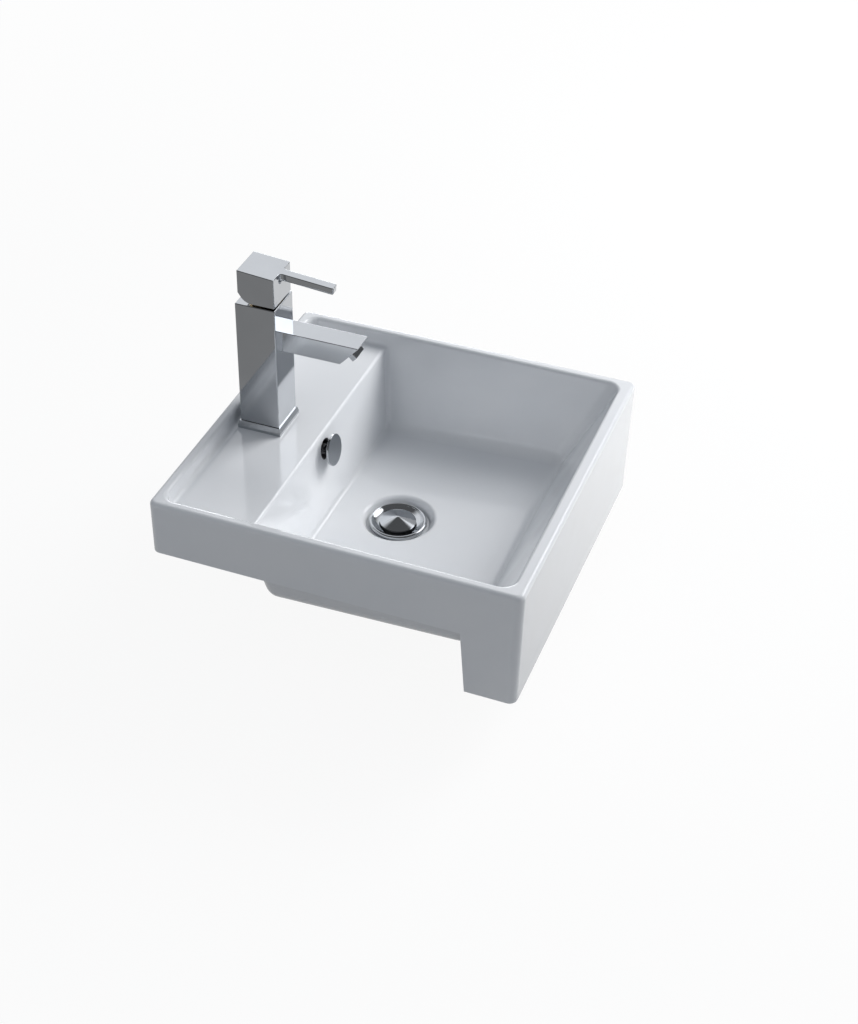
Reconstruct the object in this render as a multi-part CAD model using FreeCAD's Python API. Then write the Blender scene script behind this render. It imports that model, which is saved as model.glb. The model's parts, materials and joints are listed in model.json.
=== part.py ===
"""Square semi recessed basin with a block-shaped single-lever tap and a push-open waste.

Millimetres. +X runs along the basin's width, +Y towards the wall behind it, +Z up.
z = 0 is the worktop, and the origin lies in the middle of the rear foot that stands on it.
"""
import FreeCAD
import Part
import math
import os

V = FreeCAD.Vector

# ---------------------------------------------------------------- basin ware
basin_width = 400.0
basin_depth = 400.0
rim_height = 63.0               # rim above the worktop
apron_drop = 77.0               # apron below the worktop
apron_reach_top = 61.4          # side cheek of the apron, front to rear, at worktop level
apron_reach_bottom = 54.0
wall = 12.0                     # skirt and rim, and so the width of the feet
front_wall = 14.0               # rim at the front
corner_round = 9.0              # upright outer corners
rim_round = 5.0
rim_inner_round = 4.5
foot_round = 2.0                # lower outer edges

deck_drop = 16.5                # from the rim down to the tap deck
deck_thickness = 12.5
deck_back_round = 13.0          # upright inner corners behind the tap
deck_reach = 107.5              # from the basin's back to the ridge before the bowl
ridge_round = 3.5

floor_height_at_waste = -43.2
floor_fall = 2.5                # degrees, down towards the wall
side_lean = 14.7                # degrees from upright, as the next three
rear_lean = 8.2
front_lean = 27.5
rim_lean = 5.0
floor_side_round = 15.0
rear_round = 5.5                # around the rear wall and the deck
front_round = 16.0
bowl_shell = 10.0
rim_inner_top = 5.0             # the cutter of the bowl ends this far above the rim

# ---------------------------------------------------------------- waste
waste_reach = 196.0             # from the basin's back to the waste
waste_hole = 45.0
recess_depth = 8.1              # seat of the waste below the bowl's floor
recess_seat_radius = 34.5
recess_mouth_radius = 42.0
recess_round = 5.0
boss_radius = 37.0
boss_proud = 0.5                # underside of the boss below the underside of the duct

flange_radius = 32.0
flange_height = 4.0
lip_radius = 27.8               # inner edge of the raised lip
flange_edge = 1.6               # upright outer edge
lip_height = 3.0                # inner edge of the lip above the foot
throat_height = 0.3             # where the dish meets the bore
dish_sag = 0.6
tail_radius = 20.95             # G 1 1/4 thread, crest
tail_bore = 18.5
tail_length = 75.0
slot_top = 8.0                  # overflow slots below the flange
slot_height = 9.0
slot_width = 14.0
hub_radius = 8.5
hub_drop = 33.0                 # top of the cross bar's hub below the flange
hub_height = 6.0
bar_width = 4.0
upper_seal_thickness = 1.5
lower_seal_thickness = 3.0
slip_washer_thickness = 1.5
relief_gap = 0.5                # from the backnut down to the groove in the tail
relief_width = 1.6
relief_depth = 0.8
washer_radius = 31.0
backnut_across_flats = 54.0
backnut_height = 10.5
backnut_bevel = 1.0

plug_radius = 20.0
plug_edge = 1.0                 # upright edge of the cap
plug_slope = 16.5               # degrees, of the cap's cone
plug_tip_radius = 8.0
plug_lift = 8.0                 # travel from shut to open
plug_seal_radius = 19.6
plug_seal_thickness = 1.3
plug_seal_clearance = 0.4
stem_radius = 3.0
click_radius = 7.0
click_bore = 4.2
click_lid = 2.0
piston_radius = 3.9
piston_height = 2.0
piston_drop = 20.0
click_spring_radius = 3.1
click_spring_wire = 0.7
click_spring_turns = 6

# ---------------------------------------------------------------- overflow
overflow_height = 26.2          # above the worktop
overflow_hole_radius = 12.0
duct_wall = 8.0
duct_depth = 10.0
duct_half_width = 12.0
duct_outer_wall = 7.0
duct_top = 38.0
duct_floor_gap = 1.5            # duct's roof below the underside of the bowl
cover_radius = 17.6
cover_thickness = 2.4
cover_stand_off = 9.0
cover_stem_radius = 4.0
clip_length = 9.0
clip_recess = 1.0               # outer end of the clip behind the wall's face
clip_wall = 1.6
clip_hub_radius = 5.6
clip_bar_width = 3.0

# ---------------------------------------------------------------- tap
tap_reach = 43.6                # from the basin's back to the tap's axis
tap_hole_radius = 17.5
plate_width = 50.0
plate_top_width = 47.0
plate_edge = 3.2
plate_height = 9.0
plate_seal_outer = 23.0
plate_seal_inner = 18.5
plate_seal_thickness = 2.0
body_width = 45.0
body_height = 144.0
body_wall = 4.0
edge_round = 1.0
core_radius = 14.0
core_top = 94.5                 # hollow round the core, above the plate
spigot_radius = 16.5
spigot_drop = 11.5              # below the plate's top, into the tap hole

inlet_radius = 4.46             # M10 x 1, as cut
inlet_rise = 20.5               # mouths above the spigot's foot, in a slot
inlet_slot_radius = 6.2
inlet_spread = 6.5
inlet_offset = -3.0
inlet_depth = 13.0
port_spread = 6.0
port_offset = -5.0
passage_radius = 2.0
outlet_offset = 1.0
outlet_radius = 2.8

stud_radius = 3.0               # M6
stud_pitch = 25.0
stud_depth = 12.0
stud_length = 72.0
pad_radius = 24.0
pad_thickness = 3.0
clamp_thickness = 2.5
hose_gap_half_width = 13.5
hose_gap_half_depth = 8.4
stud_nut_across_flats = 10.0
stud_nut_height = 16.0

# ---------------------------------------------------------------- spout
spout_width = 27.0
spout_under = 101.5             # underside above the deck
spout_height = 23.0
spout_reach_top = 111.2         # from the tap's axis to the upper edge of the tip
spout_reach_under = 90.2
spout_round = 0.6
spout_wall = 3.5
spout_spigot_radius = 8.8
spout_spigot_bore = 6.5
spout_spigot_length = 8.5
aerator_width = 20.0
aerator_height = 6.8
aerator_wall = 1.0
aerator_depth = 7.0
aerator_proud = 6.8
insert_recess = 0.5
insert_rib = 0.8
insert_columns = 6
insert_rows = 2

# ---------------------------------------------------------------- cartridge
cartridge_radius = 17.3
cartridge_drop = 29.5           # its seat below the top of the body
base_height = 5.0
port_seal_radius = 3.5
outlet_seal_radius = 4.2
port_seal_thickness = 1.2
fixed_disc_radius = 14.5
fixed_disc_height = 3.4
moving_disc_radius = 11.9
moving_disc_height = 3.05
chamber_radius = 7.2
chamber_depth = 1.6
carrier_radius = 11.4
carrier_height = 5.6
housing_inner_radius = 15.2
housing_height = 21.0
housing_lid = 4.0
rotor_drum_height = 4.3
rotor_neck_radius = 10.55
rotor_neck_top = 8.5            # above the top of the body
pivot_height = 5.5              # of the lever's pin above the top of the body
pin_radius = 1.5
pin_half_length = 9.3
nut_radius = 19.4
nut_height = 3.3
nut_bore = 11.6
nut_notches = 6
nut_notch_width = 3.2
collar_foot_radius = 14.0
collar_top_radius = 11.9
collar_height = 3.5
collar_edge = 1.0

# ---------------------------------------------------------------- lever
lift_range = 18.0               # degrees, shut to full flow
handle_width = 42.4
handle_depth = 41.0
handle_forward = 1.1            # middle of the handle before the tap's axis
handle_gap = 2.3                # between the body and the handle
handle_height = 34.3            # at its middle
handle_top_fall = 4.5           # degrees, down towards the lever's tip
handle_top_round = 0.8
handle_cavity_radius = 15.2
handle_cavity_height = 12.5
heel_flat = 4.0                 # the flat underside ends here, behind the axis
heel_round = 14.0
heel_end_angle = -33.0          # degrees, where the heel's arc ends
heel_top = 11.5                 # rear face starts this high above the underside
lever_width = 10.4
lever_thickness = 8.2
lever_length = 59.0
lever_lower_round = 2.5
lever_tip_round = 2.0
lever_root_round = 4.5
stem_width = 8.0
stem_top_height = 27.5          # above the underside of the handle
ball_radius = 2.8
ball_lift = 1.0                 # ball above the disc
ball_neck_radius = 2.2
grub_radius = 2.5               # M5
grub_length = 10.0
grub_height = 20.5              # above the underside of the handle
cap_radius = 3.5
cap_depth = 3.0

# ---------------------------------------------------------------- fits
slide_gap = 0.2                 # between pieces that slide on each other
running_gap = 0.06              # round a turning pin
neck_gap = 0.1                  # round the turning neck
clear_gap = 0.3                 # between pieces that pass each other
thread_gap = 0.05               # screwed or pushed together
loose_gap = 0.25                # nut or washer round the tail
over = 1.0                      # cutters run past a face by this

# ---------------------------------------------------------------- places that follow
back_y = wall / 2
front_y = back_y - basin_depth
deck_z = rim_height - deck_drop
ridge_y = back_y - deck_reach
waste_y = back_y - waste_reach
tap_y = back_y - tap_reach
plate_top_z = deck_z + plate_height
body_top_z = plate_top_z + body_height
recess_z = floor_height_at_waste - recess_depth
flange_z = recess_z + upper_seal_thickness
plug_seal_z = flange_z + throat_height + plug_seal_clearance
cap_z = plug_seal_z + plug_seal_thickness
piston_z = flange_z - piston_drop
seat_z = body_top_z - cartridge_drop
pivot_z = body_top_z + pivot_height
handle_z = body_top_z + handle_gap
handle_top_z = handle_z + handle_height
handle_y = tap_y - handle_forward
handle_front = handle_y - handle_depth / 2
handle_rear = handle_y + handle_depth / 2
near = 1e-3                     # how close a point lies to a face that it is on


def rad(degrees):
    """Degrees to radians."""
    return math.radians(degrees)


def block(x, y, z):
    """Box between three (low, high) pairs."""
    return Part.makeBox(x[1] - x[0], y[1] - y[0], z[1] - z[0], V(x[0], y[0], z[0]))


def square_block(width, z, y):
    """Box that is square in plan, centred on the line x = 0 at the given y."""
    return block((-width / 2, width / 2), (y - width / 2, y + width / 2), z)


def rod(radius, low, high, y, x=0.0):
    """Upright cylinder."""
    return Part.makeCylinder(radius, high - low, V(x, y, low))


def ring(outer, inner, low, high, y, x=0.0):
    """Upright tube."""
    return rod(outer, low, high, y, x).cut(rod(inner, low - over, high + over, y, x))


def polygon_wire(points):
    """Closed wire through the points."""
    return Part.makePolygon(points + [points[0]])


def side_prism(outline, half_width):
    """Solid with the outline, (y, z) pairs, as its side view."""
    face = Part.Face(polygon_wire([V(-half_width, y, z) for y, z in outline]))
    return face.extrude(V(2 * half_width, 0, 0))


def turned(edges, y):
    """Solid turned about the upright axis at y from edges drawn in the plane of X and Z."""
    face = Part.Face(Part.Wire(edges))
    face.translate(V(0, y, 0))
    return face.revolve(V(0, y, 0), V(0, 0, 1), 360)


def turned_outline(outline, y):
    """Solid turned from (radius, height) pairs joined by straight lines."""
    return turned(polygon_wire([V(r, 0, z) for r, z in outline]).Edges, y)


def hexagon(across_flats, low, high, y):
    """Upright hexagonal prism."""
    corner = across_flats / 2 / math.cos(rad(30))
    points = [V(corner * math.cos(rad(60 * side)), y + corner * math.sin(rad(60 * side)), low)
              for side in range(6)]
    return Part.Face(polygon_wire(points)).extrude(V(0, 0, high - low))


def edges_on(shape, *surfaces):
    """Edges that lie on every given surface, each a function that is zero on it."""
    found = []
    for edge in shape.Edges:
        first = edge.FirstParameter
        span = edge.LastParameter - first
        points = [edge.valueAt(first + span * share) for share in (0.1, 0.5, 0.9)]
        if all(abs(surface(point)) < near for surface in surfaces for point in points):
            found.append(edge)
    return found


def rounded(shape, radius, *surfaces):
    """Shape with the edges on the given surfaces rounded."""
    return shape.makeFillet(radius, edges_on(shape, *surfaces))


def upright(edge):
    """True for a straight edge along Z."""
    ends = [vertex.Point for vertex in edge.Vertexes]
    return len(ends) == 2 and (ends[0] - ends[1]).cross(V(0, 0, 1)).Length < 1e-6


def round_uprights(shape, radius):
    """Shape with its straight upright edges rounded."""
    return shape.makeFillet(radius, [edge for edge in shape.Edges if upright(edge)])


# ---------------------------------------------------------------- the bowl's inner faces
def side_x(z):
    """Inner face of the side wall."""
    return basin_width / 2 - wall - (rim_height - z) * math.tan(rad(side_lean))


def rim_back_y(z):
    """Inner face of the rim behind the tap."""
    return back_y - wall - (rim_height - z) * math.tan(rad(rim_lean))


def rear_wall_y(z):
    """Rear wall of the bowl, below the ridge."""
    return ridge_y - (deck_z - z) * math.tan(rad(rear_lean))


def front_wall_y(z):
    """Front wall of the bowl."""
    return front_y + front_wall + (rim_height - z) * math.tan(rad(front_lean))


def floor_z(y):
    """Floor of the bowl."""
    return floor_height_at_waste + (waste_y - y) * math.tan(rad(floor_fall))


def foot_of(wall_at, floor_at):
    """Point (y, z) where a leaning wall meets the sloping floor."""
    lean = wall_at(1.0) - wall_at(0.0)
    fall = floor_at(1.0) - floor_at(0.0)
    z = floor_at(wall_at(0.0)) / (1 - lean * fall)
    return wall_at(z), z


def bowl_form(rear_at, grow, top):
    """Bowl whose faces stand `grow` outside the bowl's inner faces, sharp-edged."""
    def half_width(z):
        return side_x(z) + grow / math.cos(rad(side_lean))

    def front_at(z):
        return front_wall_y(z) - grow / math.cos(rad(front_lean))

    def floor_at(y):
        return floor_z(y) - grow / math.cos(rad(floor_fall))

    section = [foot_of(rear_at, floor_at), foot_of(front_at, floor_at),
               (front_at(top), top), (rear_at(top), top)]
    left = [V(-half_width(z), y, z) for y, z in section]
    right = [V(half_width(z), y, z) for y, z in section]
    faces = [left, right]
    for here in range(4):
        after = (here + 1) % 4
        faces.append([left[here], left[after], right[after], right[here]])
    shell = Part.makeShell([Part.Face(polygon_wire(points)) for points in faces])
    solid = Part.makeSolid(shell)
    if solid.Volume < 0:
        solid.reverse()
    return solid


def on_either_side(grow):
    """Surface function of both side faces of bowl_form."""
    return lambda p: abs(p.x) - side_x(p.z) - grow / math.cos(rad(side_lean))


def on_floor(grow):
    """Surface function of the floor of bowl_form."""
    return lambda p: p.z - floor_z(p.y) + grow / math.cos(rad(floor_fall))


def make_cavity():
    """What is cut out of the ware from above: the bowl and the sunk tap deck."""
    cavity = bowl_form(rim_back_y, 0.0, rim_height + rim_inner_top)
    below = floor_z(back_y) - over
    ledge = side_prism([(back_y, deck_z), (ridge_y, deck_z), (rear_wall_y(below), below),
                        (back_y, below)], basin_width / 2)
    ledge = rounded(ledge, ridge_round, lambda p: p.y - ridge_y, lambda p: p.z - deck_z)
    cavity = cavity.cut(ledge)
    cavity = rounded(cavity, floor_side_round, on_either_side(0.0), on_floor(0.0))
    cavity = rounded(cavity, deck_back_round, on_either_side(0.0),
                     lambda p: p.y - rim_back_y(p.z))
    cavity = rounded(cavity, rear_round, lambda p: p.y - rear_wall_y(p.z), on_floor(0.0))
    return rounded(cavity, front_round, lambda p: p.y - front_wall_y(p.z), on_floor(0.0))


def make_bowl_shell():
    """Outside of the bowl, hung under the rim."""
    back_grow = bowl_shell / math.cos(rad(rear_lean))
    front_grow = bowl_shell / math.cos(rad(front_lean))
    shell = bowl_form(lambda z: rear_wall_y(z) + back_grow, bowl_shell, deck_z - over)
    shell = rounded(shell, floor_side_round + bowl_shell, on_either_side(bowl_shell),
                    on_floor(bowl_shell))
    shell = rounded(shell, rear_round + bowl_shell,
                    lambda p: p.y - rear_wall_y(p.z) - back_grow, on_floor(bowl_shell))
    return rounded(shell, front_round + bowl_shell,
                   lambda p: p.y - front_wall_y(p.z) + front_grow, on_floor(bowl_shell))


def make_case():
    """Skirt, apron and rim, hollow from below and solid under the deck and rim."""
    half = basin_width / 2
    case = block((-half, half), (front_y, back_y), (-apron_drop, rim_height))
    case = round_uprights(case, corner_round)
    notch = side_prism([(front_y + apron_reach_top, 0), (back_y + over, 0),
                        (back_y + over, -apron_drop - over),
                        (front_y + apron_reach_bottom, -apron_drop - over),
                        (front_y + apron_reach_bottom, -apron_drop)], half + over)
    case = case.cut(notch)
    outer_feet = [edge for edge in edges_on(case, lambda p: p.z + apron_drop)
                  if max(vertex.Y for vertex in edge.Vertexes) < front_y + apron_reach_bottom + over
                  and min(vertex.Y for vertex in edge.Vertexes) < front_y + corner_round + over]
    case = case.makeFillet(foot_round, outer_feet)
    hollow = block((wall - half, half - wall), (front_y + wall, back_y - wall),
                   (-apron_drop - over, deck_z - deck_thickness))
    return case.cut(hollow)


def middle_of(edge):
    """Point half way along an edge."""
    return edge.valueAt((edge.FirstParameter + edge.LastParameter) / 2)


def on_outside(point):
    """True for a point on the outside of the skirt, its rounded corners included."""
    return (abs(point.x) > basin_width / 2 - wall / 2 or point.y > back_y - wall / 2
            or point.y < front_y + wall / 2)


def duct_roof():
    """Height of the roof of the overflow duct's run under the bowl."""
    return floor_z(rear_wall_y(0.0)) - bowl_shell - duct_floor_gap


boss_z = duct_roof() - duct_wall - duct_outer_wall - boss_proud


def duct_outline(grow):
    """Side view of the overflow duct, or of the ware round it when grown."""
    back = duct_wall + duct_depth
    under = duct_roof()
    low = under - duct_wall
    return [(rear_wall_y(duct_top) + duct_wall, duct_top + grow),
            (rear_wall_y(duct_top) + back + grow, duct_top + grow),
            (rear_wall_y(low) + back + grow, low - grow),
            (waste_y, low - grow), (waste_y, under),
            (rear_wall_y(under) + duct_wall, under)]


def along_rear_wall(shape):
    """Shape drawn about the Z axis, set square to the rear wall at the overflow."""
    place = V(0, rear_wall_y(overflow_height), overflow_height)
    turn = FreeCAD.Rotation(V(1, 0, 0), 90 - rear_lean)
    shape.Placement = FreeCAD.Placement(place, turn)
    return shape


def make_basin_body():
    """The whole glazed ware, one piece."""
    ware = make_case().fuse(make_bowl_shell())
    ware = ware.fuse(side_prism(duct_outline(duct_outer_wall), duct_half_width + duct_outer_wall))
    ware = ware.fuse(rod(boss_radius, boss_z, floor_height_at_waste, waste_y))
    ware = ware.cut(make_cavity())
    rim_edges = edges_on(ware, lambda p: p.z - rim_height)
    skirt_edges = [edge for edge in rim_edges if on_outside(middle_of(edge))]
    opening_edges = [edge for edge in rim_edges if not on_outside(middle_of(edge))]
    ware = ware.makeFillet(rim_inner_round, opening_edges)
    ware = ware.makeFillet(rim_round, skirt_edges)
    mouth_z = floor_z(waste_y - recess_mouth_radius) + over
    dish = turned_outline([(0, recess_z), (recess_seat_radius, recess_z),
                           (recess_mouth_radius, mouth_z), (0, mouth_z)], waste_y)
    ware = ware.cut(dish)
    mouth = [edge for edge in ware.Edges
             if abs(math.hypot(middle_of(edge).x, middle_of(edge).y - waste_y)
                    - recess_mouth_radius) < recess_round
             and middle_of(edge).z > recess_z + recess_round]
    ware = ware.makeFillet(recess_round, mouth)
    ware = ware.cut(side_prism(duct_outline(0.0), duct_half_width))
    ware = ware.cut(rod(waste_hole / 2, boss_z - over, recess_z + over, waste_y))
    ware = ware.cut(rod(tap_hole_radius, deck_z - deck_thickness - over, deck_z + over, tap_y))
    hole = Part.makeCylinder(overflow_hole_radius, duct_wall + duct_depth / 2 + 2 * over,
                             V(0, 0, -duct_wall - duct_depth / 2))
    return ware.cut(along_rear_wall(hole))


# ---------------------------------------------------------------- overflow fittings
def make_overflow_cover():
    """Round cover that stands off the rear wall on a stem."""
    back = cover_stand_off
    disc = Part.makeCylinder(cover_radius, cover_thickness, V(0, 0, back))
    disc = disc.makeFillet(edge_round / 2, disc.Edges)
    stem = Part.makeCylinder(cover_stem_radius, back + clip_length, V(0, 0, -clip_length))
    return along_rear_wall(disc.fuse(stem))


def make_overflow_clip():
    """Sleeve in the overflow hole whose hub grips the stem of the cover."""
    outer = overflow_hole_radius - thread_gap
    length = clip_length - clip_recess
    sleeve = Part.makeCylinder(outer, length, V(0, 0, -clip_length))
    sleeve = sleeve.cut(Part.makeCylinder(outer - clip_wall, clip_length + over,
                                          V(0, 0, -clip_length - over)))
    hub = Part.makeCylinder(clip_hub_radius, length, V(0, 0, -clip_length))
    bar = Part.makeBox(2 * outer - clip_wall, clip_bar_width, length,
                       V(clip_wall / 2 - outer, -clip_bar_width / 2, -clip_length))
    clip = sleeve.fuse(hub).fuse(bar)
    bore = Part.makeCylinder(cover_stem_radius + thread_gap, clip_length + 2 * over,
                             V(0, 0, -clip_length - over))
    return along_rear_wall(clip.cut(bore))


# ---------------------------------------------------------------- waste
def make_waste_flange():
    """Flange with a raised lip, slotted tube and the cross bar inside it."""
    groove = tail_radius - relief_depth
    relief_drop = (flange_z - boss_z + lower_seal_thickness + slip_washer_thickness
                   + backnut_height + relief_gap)
    points = [V(tail_bore, 0, -tail_length), V(tail_radius, 0, -tail_length),
              V(tail_radius, 0, -relief_drop - relief_width),
              V(groove, 0, -relief_drop - relief_width), V(groove, 0, -relief_drop),
              V(tail_radius, 0, -relief_drop),
              V(tail_radius, 0, 0), V(flange_radius, 0, 0), V(flange_radius, 0, flange_edge)]
    edges = [Part.LineSegment(a, b).toShape() for a, b in zip(points, points[1:])]
    crest = V((flange_radius + lip_radius) / 2, 0, flange_height)
    lip_end = V(lip_radius, 0, lip_height)
    edges.append(Part.Arc(points[-1], crest, lip_end).toShape())
    throat = V(tail_bore, 0, throat_height)
    dish_middle = V((lip_radius + tail_bore) / 2, 0, (lip_height + throat_height) / 2 - dish_sag)
    edges.append(Part.Arc(lip_end, dish_middle, throat).toShape())
    edges.append(Part.LineSegment(throat, points[0]).toShape())
    flange = turned(edges, waste_y)
    flange.translate(V(0, 0, flange_z))
    slots_z = (flange_z - slot_top - slot_height, flange_z - slot_top)
    reach = tail_radius + over
    flange = flange.cut(block((-reach, reach), (waste_y - slot_width / 2,
                                                waste_y + slot_width / 2), slots_z))
    flange = flange.cut(block((-slot_width / 2, slot_width / 2),
                              (waste_y - reach, waste_y + reach), slots_z))
    hub_z = (flange_z - hub_drop - hub_height, flange_z - hub_drop)
    arm = tail_bore + over
    flange = flange.fuse(block((-arm, arm), (waste_y - bar_width / 2, waste_y + bar_width / 2),
                               hub_z))
    return flange.fuse(rod(hub_radius, hub_z[0], hub_z[1], waste_y))


def make_waste_plug_cap():
    """Low conical cap with a rounded tip."""
    slope = rad(plug_slope)
    tip_centre = plug_edge + plug_radius * math.tan(slope) - plug_tip_radius / math.cos(slope)

    def on_ball(angle):
        return V(plug_tip_radius * math.sin(angle), 0,
                 tip_centre + plug_tip_radius * math.cos(angle))

    foot = V(plug_radius, 0, 0)
    edge = V(plug_radius, 0, plug_edge)
    edges = [Part.LineSegment(V(0, 0, 0), foot).toShape(),
             Part.LineSegment(foot, edge).toShape(),
             Part.LineSegment(edge, on_ball(slope)).toShape(),
             Part.Arc(on_ball(slope), on_ball(slope / 2), on_ball(0)).toShape(),
             Part.LineSegment(on_ball(0), V(0, 0, 0)).toShape()]
    cap = turned(edges, waste_y)
    cap.translate(V(0, 0, cap_z))
    socket = rod(stem_radius + thread_gap, cap_z - over, cap_z + plug_edge + over, waste_y)
    return cap.cut(socket)


def make_click_spring():
    """Compression spring between the click body's floor and the piston."""
    low = flange_z - hub_drop + click_lid + click_spring_wire
    high = piston_z - piston_height - click_spring_wire
    pitch = (high - low) / click_spring_turns
    path = Part.makeHelix(pitch, high - low, click_spring_radius)
    start = V(click_spring_radius, 0, 0)
    section = Part.Wire(Part.makeCircle(click_spring_wire / 2, start, V(0, 1, 0)))
    spring = Part.Wire(path).makePipeShell([section], True, True)
    spring.translate(V(0, waste_y, low))
    return spring


def make_waste():
    """Every piece of the waste, by node name."""
    stem = rod(stem_radius, piston_z, cap_z + plug_edge + over - thread_gap, waste_y)
    stem = stem.fuse(rod(piston_radius, piston_z - piston_height, piston_z, waste_y))
    click_foot = flange_z - hub_drop
    click_top = piston_z + plug_lift + over + click_lid
    click = rod(click_radius, click_foot, click_top, waste_y)
    click = click.cut(rod(click_bore, click_foot + click_lid, click_top - click_lid, waste_y))
    click = click.cut(rod(stem_radius + clear_gap, click_top - click_lid - over,
                          click_top + over, waste_y))
    lower_z = boss_z - lower_seal_thickness
    slip_z = lower_z - slip_washer_thickness
    bore = tail_radius + loose_gap
    nut = hexagon(backnut_across_flats, slip_z - backnut_height, slip_z, waste_y)
    flats = backnut_across_flats / 2
    corners = flats / math.cos(rad(30))
    fall = (corners - flats + backnut_bevel) * math.tan(rad(30))
    nut = nut.common(turned_outline([(0, slip_z), (flats - backnut_bevel, slip_z),
                                     (corners, slip_z - fall), (corners, slip_z - backnut_height),
                                     (0, slip_z - backnut_height)], waste_y))
    nut = nut.cut(rod(tail_radius + thread_gap, slip_z - backnut_height - over,
                      slip_z + over, waste_y))
    return {
        "waste_flange": make_waste_flange(),
        "waste_plug_cap": make_waste_plug_cap(),
        "waste_plug_seal": ring(plug_seal_radius, stem_radius + thread_gap,
                                plug_seal_z, cap_z, waste_y),
        "waste_plug_stem": stem,
        "waste_click_body": click,
        "waste_click_spring": make_click_spring(),
        "waste_upper_seal": ring(washer_radius, bore, recess_z, flange_z, waste_y),
        "waste_lower_seal": ring(washer_radius, bore, lower_z, boss_z, waste_y),
        "waste_slip_washer": ring(washer_radius - over, bore, slip_z, lower_z, waste_y),
        "waste_backnut": nut,
    }


# ---------------------------------------------------------------- tap body and base
def make_plate():
    """Square base plate with bevelled upper edges and a groove for its seal."""
    half = plate_width / 2
    top = plate_top_width / 2
    lower = [V(x * half, tap_y + y * half, deck_z + plate_edge)
             for x, y in ((-1, -1), (1, -1), (1, 1), (-1, 1))]
    upper = [V(x * top, tap_y + y * top, plate_top_z)
             for x, y in ((-1, -1), (1, -1), (1, 1), (-1, 1))]
    bevel = Part.makeLoft([polygon_wire(lower), polygon_wire(upper)], True, True)
    plate = square_block(plate_width, (deck_z, deck_z + plate_edge), tap_y).fuse(bevel)
    plate = plate.removeSplitter()
    plate = plate.cut(rod(spigot_radius + loose_gap, deck_z - over, plate_top_z + over, tap_y))
    return plate.cut(ring(plate_seal_outer + thread_gap, plate_seal_inner - thread_gap,
                          deck_z - over, deck_z + plate_seal_thickness, tap_y)
                     .common(square_block(plate_width, (deck_z - over,
                                                        deck_z + plate_seal_thickness), tap_y)))


def make_tap_body():
    """Square column, hollow round a core with the water passages, bored for the cartridge."""
    body = square_block(body_width, (plate_top_z, body_top_z), tap_y)
    body = body.makeFillet(edge_round, [edge for edge in body.Edges
                                        if edge.BoundBox.ZMax > plate_top_z + over])
    hollow = square_block(body_width - 2 * body_wall,
                          (plate_top_z - over, plate_top_z + core_top), tap_y)
    core_foot = plate_top_z - spigot_drop
    body = body.cut(hollow)
    body = body.fuse(rod(core_radius, plate_top_z, plate_top_z + core_top + over, tap_y))
    body = body.fuse(rod(spigot_radius, core_foot, plate_top_z + 2 * over, tap_y))
    bore = cartridge_radius + loose_gap
    nut_z = seat_z + base_height + housing_height - slide_gap
    body = body.cut(rod(bore, seat_z, body_top_z + over, tap_y))
    body = body.cut(rod(nut_radius + clear_gap / 3, nut_z, body_top_z + over, tap_y))
    inlet_z = core_foot + inlet_rise
    inlet_y = tap_y + inlet_offset
    body = body.cut(block((-inlet_spread, inlet_spread),
                          (inlet_y - inlet_slot_radius, inlet_y + inlet_slot_radius),
                          (core_foot - over, inlet_z)))
    for side in (-1, 1):
        body = body.cut(rod(inlet_slot_radius, core_foot - over, inlet_z, inlet_y,
                            side * inlet_spread))
        body = body.cut(rod(inlet_radius, inlet_z - over, inlet_z + inlet_depth, inlet_y,
                            side * inlet_spread))
        body = body.cut(rod(passage_radius, inlet_z + inlet_depth - over, seat_z + over,
                            tap_y + port_offset, side * port_spread))
        body = body.cut(rod(stud_radius + thread_gap, core_foot - over, core_foot + stud_depth,
                            tap_y + side * stud_pitch / 2))
    spout_z = deck_z + spout_under + spout_height / 2
    body = body.cut(rod(outlet_radius, spout_z, seat_z + over, tap_y + outlet_offset))
    front = tap_y - body_width / 2
    outlet = Part.makeCylinder(outlet_radius, body_width / 2 + outlet_offset + over,
                               V(0, front - over, spout_z), V(0, 1, 0))
    socket = Part.makeCylinder(spout_spigot_radius + thread_gap, spout_spigot_length + over,
                               V(0, front - over, spout_z), V(0, 1, 0))
    return body.cut(outlet).cut(socket)


def make_fixings():
    """What clamps the tap from under the deck, by node name."""
    core_foot = plate_top_z - spigot_drop
    pad_top = deck_z - deck_thickness
    plate_z = pad_top - pad_thickness
    nut_top = plate_z - clamp_thickness
    stud_low = core_foot + stud_depth - stud_length

    def clamp(low, high):
        disc = rod(pad_radius, low, high, tap_y)
        gap = block((-hose_gap_half_width, hose_gap_half_width),
                    (tap_y - hose_gap_half_depth, tap_y + hose_gap_half_depth),
                    (low - over, high + over))
        disc = disc.cut(gap)
        for side in (-1, 1):
            disc = disc.cut(rod(stud_radius + clear_gap, low - over, high + over,
                                tap_y + side * stud_pitch / 2))
        return disc

    studs = []
    nuts = []
    for side in (-1, 1):
        y = tap_y + side * stud_pitch / 2
        studs.append(rod(stud_radius, stud_low, core_foot + stud_depth - thread_gap, y))
        nut = hexagon(stud_nut_across_flats, nut_top - stud_nut_height, nut_top, y)
        nuts.append(nut.cut(rod(stud_radius + thread_gap, nut_top - stud_nut_height - over,
                                nut_top + over, y)))
    return {
        "tap_base_plate": make_plate(),
        "tap_base_seal": ring(plate_seal_outer, plate_seal_inner, deck_z,
                              deck_z + plate_seal_thickness - thread_gap, tap_y),
        "tap_body": make_tap_body(),
        "clamp_pad": clamp(plate_z, pad_top),
        "clamp_plate": clamp(nut_top, plate_z),
        "fixing_studs": Part.makeCompound(studs),
        "fixing_nuts": Part.makeCompound(nuts),
    }


# ---------------------------------------------------------------- spout
def tip_angle():
    """Lean of the spout's end face from upright, in degrees."""
    return math.degrees(math.atan2(spout_reach_top - spout_reach_under, spout_height))


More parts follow.
